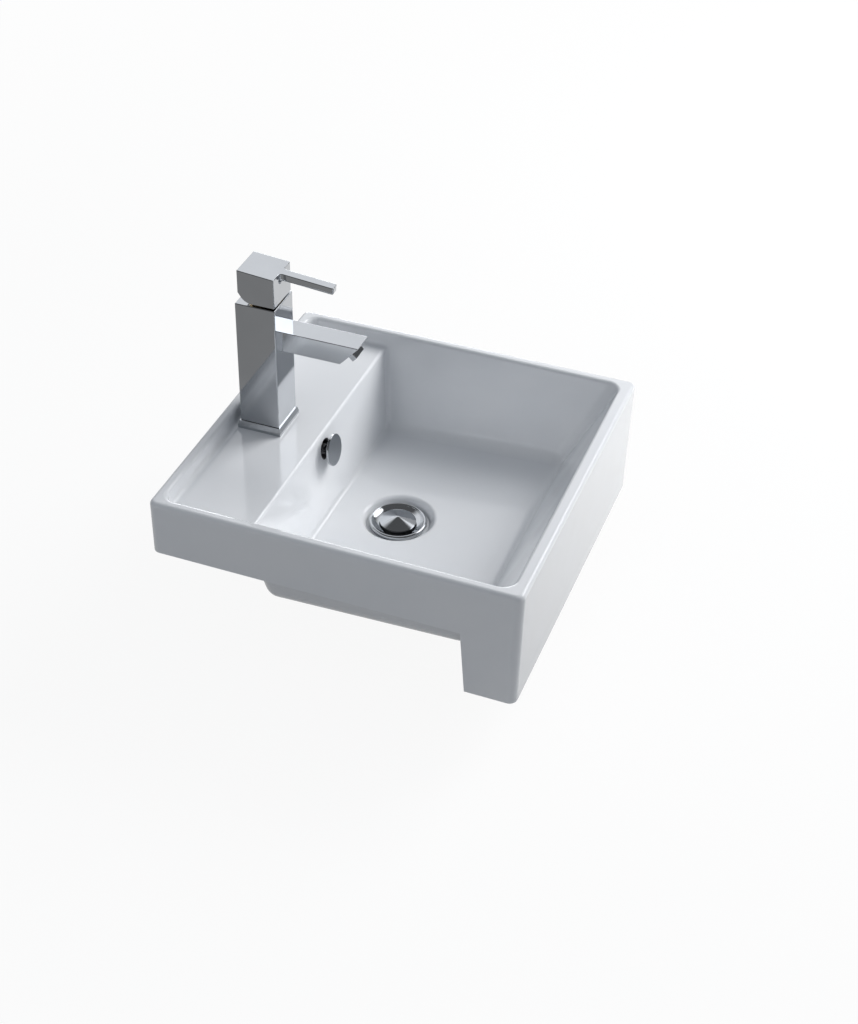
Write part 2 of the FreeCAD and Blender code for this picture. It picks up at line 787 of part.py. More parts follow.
def on_tip(shape):
    """Shape drawn on z = 0 and looking along +Z, set on the slanted end of the spout."""
    reach = (spout_reach_top + spout_reach_under) / 2
    place = V(0, tap_y - reach, deck_z + spout_under + spout_height / 2)
    shape.Placement = FreeCAD.Placement(place, FreeCAD.Rotation(V(1, 0, 0), 90 + tip_angle()))
    return shape


def tip_block(width, height, low, high):
    """Block centred on the slanted end face, from low to high along its normal."""
    return on_tip(Part.makeBox(width, height, high - low, V(-width / 2, -height / 2, low)))


def make_spout():
    """Square-cut spout with a slanted end and a spigot that plugs into the body."""
    root = tap_y - body_width / 2
    low = deck_z + spout_under
    high = low + spout_height
    middle = (low + high) / 2
    spout = side_prism([(root, low), (root, high), (tap_y - spout_reach_top, high),
                        (tap_y - spout_reach_under, low)], spout_width / 2)
    spout = spout.makeFillet(spout_round, [edge for edge in spout.Edges
                                           if edge.BoundBox.YMin < root - over])
    spigot = Part.makeCylinder(spout_spigot_radius, spout_spigot_length + over,
                               V(0, root - over, middle), V(0, 1, 0))
    spout = spout.fuse(spigot)
    inner_root = root - spout_wall
    slope = (spout_reach_top - spout_reach_under) / spout_height
    inset = aerator_depth + 2 * over
    channel = side_prism([(inner_root, low + spout_wall), (inner_root, high - spout_wall),
                          (tap_y - spout_reach_top + slope * spout_wall + inset,
                           high - spout_wall),
                          (tap_y - spout_reach_under - slope * spout_wall + inset,
                           low + spout_wall)], spout_width / 2 - spout_wall)
    spout = spout.cut(channel)
    spout = spout.cut(Part.makeCylinder(spout_spigot_bore, spout_spigot_length + spout_wall
                                        + 3 * over, V(0, inner_root - over, middle), V(0, 1, 0)))
    pocket = tip_block(aerator_width + 2 * thread_gap, aerator_height + 2 * thread_gap,
                       -aerator_depth, over)
    throat = tip_block(aerator_width - 2 * aerator_wall, aerator_height - 2 * aerator_wall,
                       -aerator_depth - 5 * over, over)
    return spout.cut(pocket).cut(throat)


def make_aerator():
    """Rectangular frame in the spout's end, and the plastic insert it holds."""
    frame = tip_block(aerator_width, aerator_height, -aerator_depth, aerator_proud)
    frame = frame.makeFillet(edge_round / 2, frame.Edges)
    inner_width = aerator_width - 2 * aerator_wall
    inner_height = aerator_height - 2 * aerator_wall
    frame = frame.cut(tip_block(inner_width, inner_height, -aerator_depth - over,
                                aerator_proud + over))
    insert_width = inner_width - 2 * thread_gap
    insert_height = inner_height - 2 * thread_gap
    face = aerator_proud - insert_recess
    insert = tip_block(insert_width, insert_height, -aerator_depth, face)
    pitch_x = (insert_width - insert_rib) / insert_columns
    pitch_y = (insert_height - insert_rib) / insert_rows
    for column in range(insert_columns):
        for row in range(insert_rows):
            pocket = Part.makeBox(pitch_x - insert_rib, pitch_y - insert_rib,
                                  aerator_depth + face + 2 * over,
                                  V(column * pitch_x + insert_rib - insert_width / 2,
                                    row * pitch_y + insert_rib - insert_height / 2,
                                    -aerator_depth - over))
            insert = insert.cut(on_tip(pocket))
    return frame, insert


# ---------------------------------------------------------------- cartridge
def make_cartridge():
    """Ceramic disc cartridge and what holds it, by node name."""
    fixed_z = seat_z + base_height
    moving_z = fixed_z + fixed_disc_height + slide_gap
    carrier_z = moving_z + moving_disc_height
    drum_z = carrier_z + carrier_height + slide_gap
    lid_z = fixed_z + housing_height - housing_lid
    housing_top = fixed_z + housing_height
    arm = pivot_z - (carrier_z + ball_lift + ball_radius)
    travel = arm * math.sin(rad(lift_range))
    shut_y = tap_y + travel / 2
    ports = [(side * port_spread, tap_y + port_offset, passage_radius, port_seal_radius)
             for side in (-1, 1)]
    ports.append((0.0, tap_y + outlet_offset, outlet_radius, outlet_seal_radius))

    base = rod(cartridge_radius, seat_z, fixed_z, tap_y)
    fixed = rod(fixed_disc_radius, fixed_z, fixed_z + fixed_disc_height, tap_y)
    seals = []
    for x, y, bore, seal_radius in ports:
        base = base.cut(rod(bore, seat_z - over, fixed_z + over, y, x))
        base = base.cut(rod(seal_radius + thread_gap, seat_z - over,
                            seat_z + port_seal_thickness, y, x))
        fixed = fixed.cut(rod(bore, fixed_z - over, moving_z + over, y, x))
        seals.append(ring(seal_radius, bore + thread_gap, seat_z,
                          seat_z + port_seal_thickness - thread_gap, y, x))

    moving = rod(moving_disc_radius, moving_z, carrier_z, shut_y)
    moving = moving.cut(rod(chamber_radius, moving_z - over, moving_z + chamber_depth, shut_y))
    carrier = rod(carrier_radius, carrier_z, carrier_z + carrier_height, shut_y)
    pocket_reach = ball_radius + clear_gap
    carrier = carrier.cut(block((-pocket_reach, pocket_reach),
                                (tap_y - pocket_reach, tap_y + pocket_reach),
                                (carrier_z + ball_lift - clear_gap, drum_z + over)))

    housing = rod(cartridge_radius, fixed_z, housing_top, tap_y)
    housing = housing.cut(rod(housing_inner_radius, fixed_z - over, lid_z, tap_y))
    housing = housing.cut(rod(rotor_neck_radius + neck_gap, lid_z - over, housing_top + over,
                              tap_y))

    drum = rod(housing_inner_radius - clear_gap, drum_z, drum_z + rotor_drum_height, tap_y)
    neck_top = body_top_z + rotor_neck_top
    rotor = drum.fuse(rod(rotor_neck_radius, drum_z, neck_top, tap_y))
    half = stem_width / 2
    reach = half + clear_gap
    swing = math.tan(rad(lift_range))
    slot = side_prism([(tap_y + reach, drum_z - over), (tap_y + reach, pivot_z - over),
                       (tap_y + reach + swing * (neck_top - pivot_z) + over, neck_top + over),
                       (tap_y - reach - clear_gap, neck_top + over),
                       (tap_y - reach - clear_gap, pivot_z),
                       (tap_y - reach - swing * (pivot_z - drum_z), drum_z),
                       (tap_y - reach - swing * (pivot_z - drum_z), drum_z - over)], reach)
    rotor = rotor.cut(slot)
    rotor = rotor.cut(Part.makeCylinder(pin_radius + thread_gap / 2, 2 * rotor_neck_radius,
                                        V(-rotor_neck_radius, tap_y, pivot_z), V(1, 0, 0)))
    pin = Part.makeCylinder(pin_radius, 2 * pin_half_length,
                            V(-pin_half_length, tap_y, pivot_z), V(1, 0, 0))

    nut = ring(nut_radius, nut_bore, housing_top, housing_top + nut_height, tap_y)
    for notch in range(nut_notches):
        cutter = block((nut_radius - nut_notch_width / 2, nut_radius + over),
                       (-nut_notch_width / 2, nut_notch_width / 2),
                       (housing_top - over, housing_top + nut_height + over))
        cutter.rotate(V(0, 0, 0), V(0, 0, 1), 360 / nut_notches * (notch + 0.5))
        cutter.translate(V(0, tap_y, 0))
        nut = nut.cut(cutter)
    collar_z = housing_top + nut_height
    collar_bore = rotor_neck_radius + clear_gap
    collar = turned_outline([(collar_bore, collar_z), (collar_foot_radius, collar_z),
                             (collar_foot_radius, collar_z + collar_edge),
                             (collar_top_radius, collar_z + collar_height),
                             (collar_bore, collar_z + collar_height)], tap_y)
    return {
        "cartridge_seals": Part.makeCompound(seals),
        "cartridge_base": base,
        "fixed_disc": fixed,
        "moving_disc": moving,
        "disc_carrier": carrier,
        "cartridge_housing": housing,
        "rotor": rotor,
        "lever_pin": pin,
        "lever_stem": make_lever_stem(carrier_z + ball_lift + ball_radius),
        "cartridge_nut": nut,
        "trim_collar": collar,
    }


def make_lever_stem(ball_z):
    """Square stem that tilts on the pin, with a ball in the disc carrier."""
    half = stem_width / 2
    square_foot = body_top_z - rotor_neck_top
    top = handle_z + stem_top_height
    stem = block((-half, half), (tap_y - half, tap_y + half), (square_foot, top))
    stem = stem.fuse(rod(ball_neck_radius, ball_z, square_foot + over, tap_y))
    stem = stem.fuse(Part.makeSphere(ball_radius, V(0, tap_y, ball_z)))
    return stem.cut(Part.makeCylinder(pin_radius + running_gap, 2 * stem_width,
                                      V(-stem_width, tap_y, pivot_z), V(1, 0, 0)))


# ---------------------------------------------------------------- handle
def top_z(y):
    """Top of the handle and of its lever."""
    return handle_top_z + (y - handle_y) * math.tan(rad(handle_top_fall))


def on_top(point):
    """Height of a point above the top of the handle."""
    return point.z - top_z(point.y)


def make_cube():
    """Cube of the handle, its rear lower edge shaped so that it can tilt."""
    half = handle_width / 2
    centre = V(-half, tap_y + heel_flat, handle_z + heel_round)

    def on_heel(angle):
        return centre + V(0, heel_round * math.cos(angle), heel_round * math.sin(angle))

    heel_end = on_heel(rad(heel_end_angle))
    heel_middle = on_heel(rad((heel_end_angle - 90) / 2))
    heel_start = on_heel(rad(-90))
    points = [heel_end, V(-half, handle_rear, handle_z + heel_top),
              V(-half, handle_rear, top_z(handle_rear)),
              V(-half, handle_front, top_z(handle_front)),
              V(-half, handle_front, handle_z), heel_start]
    edges = [Part.LineSegment(a, b).toShape() for a, b in zip(points, points[1:])]
    edges.append(Part.Arc(heel_start, heel_middle, heel_end).toShape())
    return Part.Face(Part.Wire(edges)).extrude(V(handle_width, 0, 0))


def make_lever():
    """Bar of the lever, level with the top of the cube."""
    fall = rad(handle_top_fall)
    drop = lever_thickness / math.cos(fall)
    tip_y = handle_front - lever_length * math.cos(fall)
    root_y = handle_front + over
    lever = side_prism([(root_y, top_z(root_y)), (tip_y, top_z(tip_y)),
                        (tip_y + lever_thickness * math.sin(fall),
                         top_z(tip_y) - lever_thickness * math.cos(fall)),
                        (root_y, top_z(root_y) - drop)], lever_width / 2)
    lever = rounded(lever, lever_lower_round, lambda p: abs(p.x) - lever_width / 2,
                    lambda p: on_top(p) + drop)
    tip_edges = edges_on(lever, lambda p: (p.y - tip_y) * math.cos(fall)
                         + (p.z - top_z(tip_y)) * math.sin(fall))
    return lever.makeFillet(lever_tip_round, [edge for edge in tip_edges
                                              if on_top(middle_of(edge)) < -near])


def make_handle():
    """Cube-shaped handle with its lever, one casting."""
    half = handle_width / 2
    handle = make_cube().fuse(make_lever()).removeSplitter()
    root = [edge for edge in edges_on(handle, lambda p: p.y - handle_front)
            if max(abs(vertex.X) for vertex in edge.Vertexes) < lever_width / 2 + near
            and on_top(middle_of(edge)) < -near]
    handle = handle.makeFillet(lever_root_round, root)
    uprights = [edge for edge in handle.Edges if upright(edge)
                and abs(abs(edge.Vertexes[0].X) - half) < near]
    handle = handle.makeFillet(edge_round, uprights)
    handle = rounded(handle, handle_top_round, on_top)

    cavity_top = handle_z + handle_cavity_height
    socket_top = handle_z + stem_top_height + clear_gap
    handle = handle.cut(rod(handle_cavity_radius, handle_z - over, cavity_top, tap_y))
    reach = stem_width / 2 + thread_gap
    handle = handle.cut(block((-reach, reach), (tap_y - reach, tap_y + reach),
                              (cavity_top - over, socket_top)))
    grub_z = handle_z + grub_height
    tapped = Part.makeCylinder(grub_radius + thread_gap, handle_rear - tap_y + over,
                               V(0, tap_y, grub_z), V(0, 1, 0))
    mouth = Part.makeCylinder(cap_radius + thread_gap, cap_depth + over,
                              V(0, handle_rear - cap_depth, grub_z), V(0, 1, 0))
    return handle.cut(tapped).cut(mouth)


def make_handle_pieces():
    """Handle, its grub screw and the plain cap over it, by node name."""
    grub_z = handle_z + grub_height
    grub = Part.makeCylinder(grub_radius, grub_length, V(0, tap_y + stem_width / 2, grub_z),
                             V(0, 1, 0))
    key = Part.makeCylinder(grub_radius / 2, grub_radius,
                            V(0, tap_y + stem_width / 2 + grub_length - grub_radius, grub_z),
                            V(0, 1, 0))
    cap = Part.makeCylinder(cap_radius, cap_depth, V(0, handle_rear - cap_depth, grub_z),
                            V(0, 1, 0))
    return {"lever_handle": make_handle(), "grub_screw": grub.cut(key), "handle_cap": cap}


def make_pieces():
    """Every node of the basin."""
    frame, insert = make_aerator()
    pieces = {
        "basin_body": make_basin_body(),
        "overflow_cover": make_overflow_cover(),
        "overflow_clip": make_overflow_clip(),
        "spout": make_spout(),
        "aerator_frame": frame,
        "aerator_insert": insert,
    }
    pieces.update(make_waste())
    pieces.update(make_fixings())
    pieces.update(make_cartridge())
    pieces.update(make_handle_pieces())
    return pieces


os.makedirs("parts", exist_ok=True)
for name, shape in make_pieces().items():
    box = shape.BoundBox
    print(f"{name:20s} solids {len(shape.Solids)} valid {shape.isValid()} "
          f"volume {shape.Volume / 1000:9.2f} cm3  "
          f"x {box.XMin:7.1f} {box.XMax:7.1f}  y {box.YMin:7.1f} {box.YMax:7.1f}  "
          f"z {box.ZMin:7.1f} {box.ZMax:7.1f}")
    shape.exportStep(f"parts/{name}.step")
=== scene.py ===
"""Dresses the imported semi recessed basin: its finishes, the fine threads, and a pale studio."""
import json
import math

import bmesh
import bpy
from bpy.props import FloatProperty, FloatVectorProperty, PointerProperty
from mathutils import Matrix, Vector


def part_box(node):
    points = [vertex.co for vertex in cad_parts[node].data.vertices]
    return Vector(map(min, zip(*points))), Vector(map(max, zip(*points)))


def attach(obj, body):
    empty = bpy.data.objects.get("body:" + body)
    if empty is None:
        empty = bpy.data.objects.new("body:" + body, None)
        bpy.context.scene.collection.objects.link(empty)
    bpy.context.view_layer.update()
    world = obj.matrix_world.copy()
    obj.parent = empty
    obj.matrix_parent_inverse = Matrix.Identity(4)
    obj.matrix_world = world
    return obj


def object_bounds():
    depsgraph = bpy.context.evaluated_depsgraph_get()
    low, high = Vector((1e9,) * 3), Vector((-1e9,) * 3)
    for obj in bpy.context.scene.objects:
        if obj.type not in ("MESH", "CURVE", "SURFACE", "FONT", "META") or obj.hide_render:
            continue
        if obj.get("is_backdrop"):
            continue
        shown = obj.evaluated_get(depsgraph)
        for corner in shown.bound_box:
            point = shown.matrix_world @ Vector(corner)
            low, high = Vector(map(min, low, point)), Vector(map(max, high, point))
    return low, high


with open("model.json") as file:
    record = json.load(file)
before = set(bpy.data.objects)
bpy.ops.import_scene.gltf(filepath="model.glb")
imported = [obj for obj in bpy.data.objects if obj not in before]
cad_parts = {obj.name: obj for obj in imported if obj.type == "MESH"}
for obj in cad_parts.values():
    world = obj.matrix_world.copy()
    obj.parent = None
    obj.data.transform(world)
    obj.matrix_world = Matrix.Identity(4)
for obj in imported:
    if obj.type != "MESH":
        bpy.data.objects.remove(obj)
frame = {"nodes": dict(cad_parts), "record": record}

bl_info = {
    "name": "Semi recessed basin",
    "version": (1, 0, 0),
    "blender": (4, 5, 0),
    "location": "View3D > Sidebar > Basin",
    "description": "Glazes the ware, finishes the tap and the waste, cuts threads and lights them",
    "category": "Add Mesh",
}

NODES = frame["nodes"]
WHITE = (1.0, 1.0, 1.0, 1.0)

# threads, in metres; shares are of one pitch
TAIL_RADIUS = 0.02095           # the waste tail in the CAD
TAIL_STEPS, STUD_STEPS = 72, 24  # pieces in one turn
RIDGE_SINK = 0.00005            # the ridge's foot lies this deep in the rod
CREST_SHARE = 0.38              # from the ridge's lower foot up to its crest
FOOT_SHARE = 0.76               # from the lower foot up to the upper one
TURNS_OFF = 0.8                 # the ridge stops this many turns short

# finishes
BUMP_DEPTH = 0.0002             # of the marks in metal and mouldings
GLAZE_BUMP_DEPTH = 0.002        # of the glaze's slow waves
BARE_FULL = 0.7                 # share of the bare depth at which the glaze has ended
FOOT_TILT = (-0.97, -0.99)      # heights of the normal between which a face becomes a foot
BARE_ROUGHNESS = 0.72

# the floor, in metres
FLOOR_SIDE = 14.0
FLOOR_GAP = 0.0003              # keeps the end of the waste tail out of the floor's plane
FLOOR_FADE = (0.7, 2.5)         # distances over which the floor turns plain white
FLOOR_GLOW = 1.07               # strength of the white near the basin, before it fades to 1
FLOOR_REFLECTION_FADE = (-0.35, 0.35)     # x between which the painted reflection of the floor in metal goes from dark to white

# the lamps: all stand LAMP_REACH from LAMP_AIM, in these directions
LAMP_AIM = (0.0, -0.2, 0.05)
LAMP_REACH = 2.2
LAMPS = (                       # name, setting of its power, width and depth, direction
    ("key_lamp", "key_power", (1.1, 1.26), (0.70, -0.43, 0.51)),
    ("front_lamp", "front_power", (1.2, 0.7), (0.40, -0.84, 0.36)),
    ("fill_lamp", "fill_power", (1.2, 1.0), (-0.75, 0.45, 0.32)),
)

# the painted reflection of the room that shows in metal and glaze: the direction of each light
# part, and the cosines between which it begins and is full; the low glint is painted only there,
# with no lamp behind it
SIDE_WAY, SIDE_EDGE = (0.63, 0.42, 0.65), (0.80, 0.94)
LAMP_WAY, LAMP_EDGE = (0.62, -0.42, 0.70), (0.95, 0.975)
LOW_GLINT_WAY, LOW_GLINT_EDGE = (0.89, 0.37, 0.25), (0.98, 0.992)
ROOF_EDGE = (0.72, 0.84)        # heights between which the light side darkens again
ROOM_TINT = (0.90, 0.965, 1.06, 1.0)
MIRROR_TINT = (0.98, 0.995, 1.02, 1.0)

# the camera, worked out from the photograph: metres and degrees
CAMERA_PLACE = (-1.4121, -0.7241, 1.1380)
CAMERA_AZIMUTH, CAMERA_ELEVATION, CAMERA_ROLL = -68.26, 41.76, 0.35
CAMERA_SHIFT = (0.0549, 0.1158)
CAMERA_SENSOR = 36.0            # millimetres
CAMERA_CLIP = (0.05, 50.0)


# ---------------------------------------------------------------- settings


class BasinWareSettings(bpy.types.PropertyGroup):
    """Colours of the glazed casting."""

    glaze_colour: FloatVectorProperty(
        name="Glaze colour", description="Colour of the glaze where it lies thick",
        default=(0.845, 0.855, 0.87), size=3, min=0.0, max=1.0, subtype="COLOR")
    glaze_thin_colour: FloatVectorProperty(
        name="Thin glaze colour", description="Colour of the glaze where it has run thinner",
        default=(0.825, 0.84, 0.86), size=3, min=0.0, max=1.0, subtype="COLOR")
    biscuit_colour: FloatVectorProperty(
        name="Biscuit colour", description="Colour of the bare fired clay on wall face and feet",
        default=(0.72, 0.69, 0.64), size=3, min=0.0, max=1.0, subtype="COLOR")
    bare_depth: FloatProperty(
        name="Bare depth", description="How far the bare clay reaches in from the wall face",
        default=0.0008, min=0.0, max=0.01, unit="LENGTH", subtype="DISTANCE", precision=4)


class BasinMetalSettings(bpy.types.PropertyGroup):
    """Colours of the plated, turned and drawn metal."""

    chrome_colour: FloatVectorProperty(
        name="Chrome colour", description="Colour of the bright plating",
        default=(0.485, 0.50, 0.52), size=3, min=0.0, max=1.0, subtype="COLOR")
    steel_colour: FloatVectorProperty(
        name="Steel colour", description="Colour of the drawn and pressed steel",
        default=(0.56, 0.565, 0.57), size=3, min=0.0, max=1.0, subtype="COLOR")
    brass_colour: FloatVectorProperty(
        name="Brass colour", description="Colour of the turned brass",
        default=(0.72, 0.53, 0.27), size=3, min=0.0, max=1.0, subtype="COLOR")


class BasinPlasticSettings(bpy.types.PropertyGroup):
    """Colours of the moulded pieces and the sealing discs."""

    black_colour: FloatVectorProperty(
        name="Black plastic", description="Colour of the black mouldings",
        default=(0.028, 0.028, 0.030), size=3, min=0.0, max=1.0, subtype="COLOR")
    white_colour: FloatVectorProperty(
        name="White plastic", description="Colour of the white mouldings",
        default=(0.78, 0.78, 0.76), size=3, min=0.0, max=1.0, subtype="COLOR")
    grey_colour: FloatVectorProperty(
        name="Grey plastic", description="Colour of the grey mouldings",
        default=(0.30, 0.31, 0.32), size=3, min=0.0, max=1.0, subtype="COLOR")
    rubber_colour: FloatVectorProperty(
        name="Rubber", description="Colour of the seals and pads",
        default=(0.035, 0.035, 0.036), size=3, min=0.0, max=1.0, subtype="COLOR")
    disc_colour: FloatVectorProperty(
        name="Sealing disc", description="Colour of the lapped ceramic discs",
        default=(0.82, 0.80, 0.75), size=3, min=0.0, max=1.0, subtype="COLOR")


class BasinThreadSettings(bpy.types.PropertyGroup):
    """Sizes of the threads."""

    tail_pitch: FloatProperty(
        name="Waste thread pitch", description="Rise of the waste tail's thread in one turn",
        default=0.00231, min=0.001, max=0.005, unit="LENGTH", subtype="DISTANCE", precision=5)
    tail_crest: FloatProperty(
        name="Waste thread height", description="How far the waste tail's thread stands out",
        default=0.0006, min=0.0001, max=0.002, unit="LENGTH", subtype="DISTANCE", precision=5)
    relief: FloatProperty(
        name="Thread relief", description="Plain length of the waste tail under its nut",
        default=0.0022, min=0.0, max=0.02, unit="LENGTH", subtype="DISTANCE", precision=5)
    stud_pitch: FloatProperty(
        name="Stud thread pitch", description="Rise of a fixing stud's thread in one turn",
        default=0.001, min=0.0005, max=0.002, unit="LENGTH", subtype="DISTANCE", precision=5)
    stud_crest: FloatProperty(
        name="Stud thread height", description="How far a fixing stud's thread stands out",
        default=0.00035, min=0.0001, max=0.001, unit="LENGTH", subtype="DISTANCE", precision=5)


class BasinStageSettings(bpy.types.PropertyGroup):
    """The floor, the lamps and the camera."""

    floor_colour: FloatVectorProperty(
        name="Floor colour", description="Colour of the floor that the lamps light",
        default=(0.50, 0.50, 0.50), size=3, min=0.0, max=1.0, subtype="COLOR")
    floor_white: FloatProperty(
        name="Floor white", description="How much of the floor is plain white where it is seen",
        default=0.86, min=0.0, max=1.0, subtype="FACTOR")
    key_power: FloatProperty(
        name="Large lamp", description="Power of the large lamp on the right, above",
        default=42.0, min=0.0, max=500.0, unit="POWER", subtype="POWER")
    front_power: FloatProperty(
        name="Front lamp", description="Power of the lamp in front, above",
        default=9.0, min=0.0, max=500.0, unit="POWER", subtype="POWER")
    fill_power: FloatProperty(
        name="Fill lamp", description="Power of the soft lamp behind, on the left",
        default=4.5, min=0.0, max=500.0, unit="POWER", subtype="POWER")
    # painted reflection: the next three set the room and the lamp glints that only metal and glaze
    # see
    mirror_dark: FloatProperty(
        name="Dark room in metal", description="How light most of the room looks in metal",
        default=0.13, min=0.0, max=2.0, subtype="FACTOR")
    mirror_light: FloatProperty(
        name="Light room in metal", description="How light the room's light side looks in metal",
        default=1.2, min=0.0, max=2.0, subtype="FACTOR")
    mirror_lamp: FloatProperty(
        name="Lamp in metal", description="How bright the lamps look in metal and glaze",
        default=4.2, min=0.0, max=20.0, subtype="FACTOR")
    # painted reflection: how light the floor's glow on the left is, seen only in metal
    floor_reflection_dark: FloatProperty(
        name="Dark floor in metal", description="How light the floor on the left looks in metal",
        default=0.33, min=0.0, max=2.0, subtype="FACTOR")
    room_light: FloatProperty(
        name="Room light", description="Strength of the even light from all round",
        default=0.28, min=0.0, max=2.0, subtype="FACTOR")
    focal_length: FloatProperty(
        name="Focal length", description="Focal length of the camera",
        default=61.2, min=10.0, max=300.0, unit="CAMERA")


SETTINGS = {
    "basin_ware": BasinWareSettings,
    "basin_metal": BasinMetalSettings,
    "basin_plastic": BasinPlasticSettings,
    "basin_thread": BasinThreadSettings,
    "basin_stage": BasinStageSettings,
}


# ---------------------------------------------------------------- shader helpers


class Tree:
    """Short names for laying nodes in a node tree."""

    def __init__(self, tree):
        self.tree = tree

    def node(self, kind, inputs=None, **facts):
        """A node with those facts, its inputs linked where given a socket and set where not."""
        made = self.tree.nodes.new(kind)
        for key, value in facts.items():
            setattr(made, key, value)
        for key, value in (inputs or {}).items():
            if isinstance(value, bpy.types.NodeSocket):
                self.link(value, made.inputs[key])
            else:
                made.inputs[key].default_value = value
        return made

    def link(self, start, end):
        self.tree.links.new(start, end)

    def math(self, operation, a, b):
        return self.node("ShaderNodeMath", {0: a, 1: b}, operation=operation).outputs[0]

    def spread(self, value, span, to_low, to_high):
        """value mapped from the span (low, high) to to_low..to_high."""
        inputs = {0: value, 1: span[0], 2: span[1], 3: to_low, 4: to_high}
        return self.node("ShaderNodeMapRange", inputs).outputs[0]

    def mix(self, factor, a, b):
        """Colour a where factor is 0 and b where it is 1."""
        return self.node("ShaderNodeMix", {0: factor, 6: a, 7: b}, data_type="RGBA").outputs[2]

    def blend(self, factor, a, b):
        """Number a where factor is 0 and b where it is 1."""
        return self.node("ShaderNodeMix", {0: factor, 2: a, 3: b}, data_type="FLOAT").outputs[0]

    def axes(self, vector):
        """The x, y and z of a vector."""
        return self.node("ShaderNodeSeparateXYZ", {0: vector}).outputs

    def noise(self, vector, scale, detail, roughness):
        inputs = {"Vector": vector, "Scale": scale, "Detail": detail, "Roughness": roughness}
        return self.node("ShaderNodeTexNoise", inputs).outputs[0]

    def shade_mix(self, factor, a, b):
        """Shader a where factor is 0 and b where it is 1."""
        inputs = {0: factor, 1: a.outputs[0], 2: b.outputs[0]}
        return self.node("ShaderNodeMixShader", inputs).outputs[0]


def new_group(name, inputs):
    """A shader node group for a skin.

    Its inputs are Vector and the given ones, each with its default, and its outputs are the
    skin's tone, roughness and height.
    """
    group = bpy.data.node_groups.new(name, "ShaderNodeTree")
    group.interface.new_socket("Vector", in_out="INPUT", socket_type="NodeSocketVector")
    for label, default in inputs.items():
        kind = "NodeSocketVector" if isinstance(default, tuple) else "NodeSocketFloat"
        socket = group.interface.new_socket(label, in_out="INPUT", socket_type=kind)
        socket.default_value = default
    for label in ("Tone", "Roughness", "Height"):
        group.interface.new_socket(label, in_out="OUTPUT", socket_type="NodeSocketFloat")
    tree = Tree(group)
    start = tree.node("NodeGroupInput").outputs
    end = tree.node("NodeGroupOutput").inputs
    return group, tree, start, end


def flow_group(name):
    """The slow waves and tiny dimples of a fired or moulded skin."""
    group, tree, start, end = new_group(name, {
        "Wave Scale": 12.0, "Dimple Scale": 300.0, "Dimple Share": 0.2,
        "Rough Low": 0.1, "Rough High": 0.2})
    waves = tree.noise(start["Vector"], start["Wave Scale"], 2.0, 0.45)
    dimples = tree.noise(start["Vector"], start["Dimple Scale"], 1.0, 0.5)
    tree.link(tree.spread(waves, (0.3, 0.7), 0.0, 1.0), end["Tone"])
    rough = tree.spread(waves, (0.35, 0.65), start["Rough Low"], start["Rough High"])
    tree.link(rough, end["Roughness"])
    small = tree.math("MULTIPLY", dimples, start["Dimple Share"])
    tree.link(tree.math("ADD", waves, small), end["Height"])
    return group


def wear_group(name):
    """Hairline scratches and faint smears on polished and drawn metal."""
    group, tree, start, end = new_group(name, {
        "Grain Scale": 60.0, "Stretch": (1.0, 1.0, 1.0), "Smear Scale": 25.0,
        "Rough Low": 0.05, "Rough High": 0.12, "Grain Share": 0.3})
    drawn = tree.node("ShaderNodeVectorMath", {0: start["Vector"], 1: start["Stretch"]},
                      operation="MULTIPLY")
    grain = tree.noise(drawn.outputs[0], start["Grain Scale"], 3.0, 0.6)
    smear = tree.noise(start["Vector"], start["Smear Scale"], 2.0, 0.5)
    lines = tree.math("MULTIPLY", grain, start["Grain Share"])
    rest = tree.math("SUBTRACT", 1.0, start["Grain Share"])
    both = tree.math("ADD", lines, tree.math("MULTIPLY", smear, rest))
    tree.link(tree.spread(both, (0.35, 0.65), 0.0, 1.0), end["Tone"])
    rough = tree.spread(both, (0.35, 0.65), start["Rough Low"], start["Rough High"])
    tree.link(rough, end["Roughness"])
    tree.link(grain, end["Height"])
    return group


GROUP_MAKERS = {"surface_flow": flow_group, "metal_wear": wear_group}


def skin_node(tree, name, inputs):
    """A node of the named shared group, which is made the first time that it is asked for."""
    group = bpy.data.node_groups.get(name) or GROUP_MAKERS[name](name)
    return tree.node("ShaderNodeGroup", inputs, node_tree=group)


def rgba(colour):
    return (colour[0], colour[1], colour[2], 1.0)


def new_material(name):
    """An empty node material, with its tree, its shader and the object coordinates."""
    material = bpy.data.materials.new(name)
    material.use_nodes = True
    material.node_tree.nodes.clear()
    tree = Tree(material.node_tree)
    shader = tree.node("ShaderNodeBsdfPrincipled")
    tree.node("ShaderNodeOutputMaterial", {0: shader.outputs[0]})
    place = tree.node("ShaderNodeTexCoord")
    return material, tree, shader, place.outputs["Object"]


def add_bump(tree, shader, height, strength, distance):
    inputs = {"Strength": strength, "Distance": distance, "Height": height}
    tree.link(tree.node("ShaderNodeBump", inputs).outputs[0], shader.inputs["Normal"])


def skinned(name, group_name, colour, shade, marks, strength, metallic=0.0):
    """A material with the marks of a shared group, that goes from colour to shade times colour."""
    material, tree, shader, place = new_material(name)
    shader.inputs["Metallic"].default_value = metallic
    skin = skin_node(tree, group_name, {"Vector": place, **marks})
    tone = tree.mix(skin.outputs["Tone"], rgba(colour), rgba(Vector(colour) * shade))
    tree.link(tone, shader.inputs["Base Color"])
    tree.link(skin.outputs["Roughness"], shader.inputs["Roughness"])
    add_bump(tree, shader, skin.outputs["Height"], strength, BUMP_DEPTH)
    return material


def finish_nodes(material, slot_name):
    """Gives the CAD nodes of that slot of the record this material."""
    names = [part["node"] for part in frame["record"]["subparts"]
             if part["material_slot"] == slot_name]
    if not names:
        raise RuntimeError(f"the frame has no node in the slot {slot_name}")
    for name in names:
        for slot in NODES[name].material_slots:
            slot.material = material


# ---------------------------------------------------------------- pieces


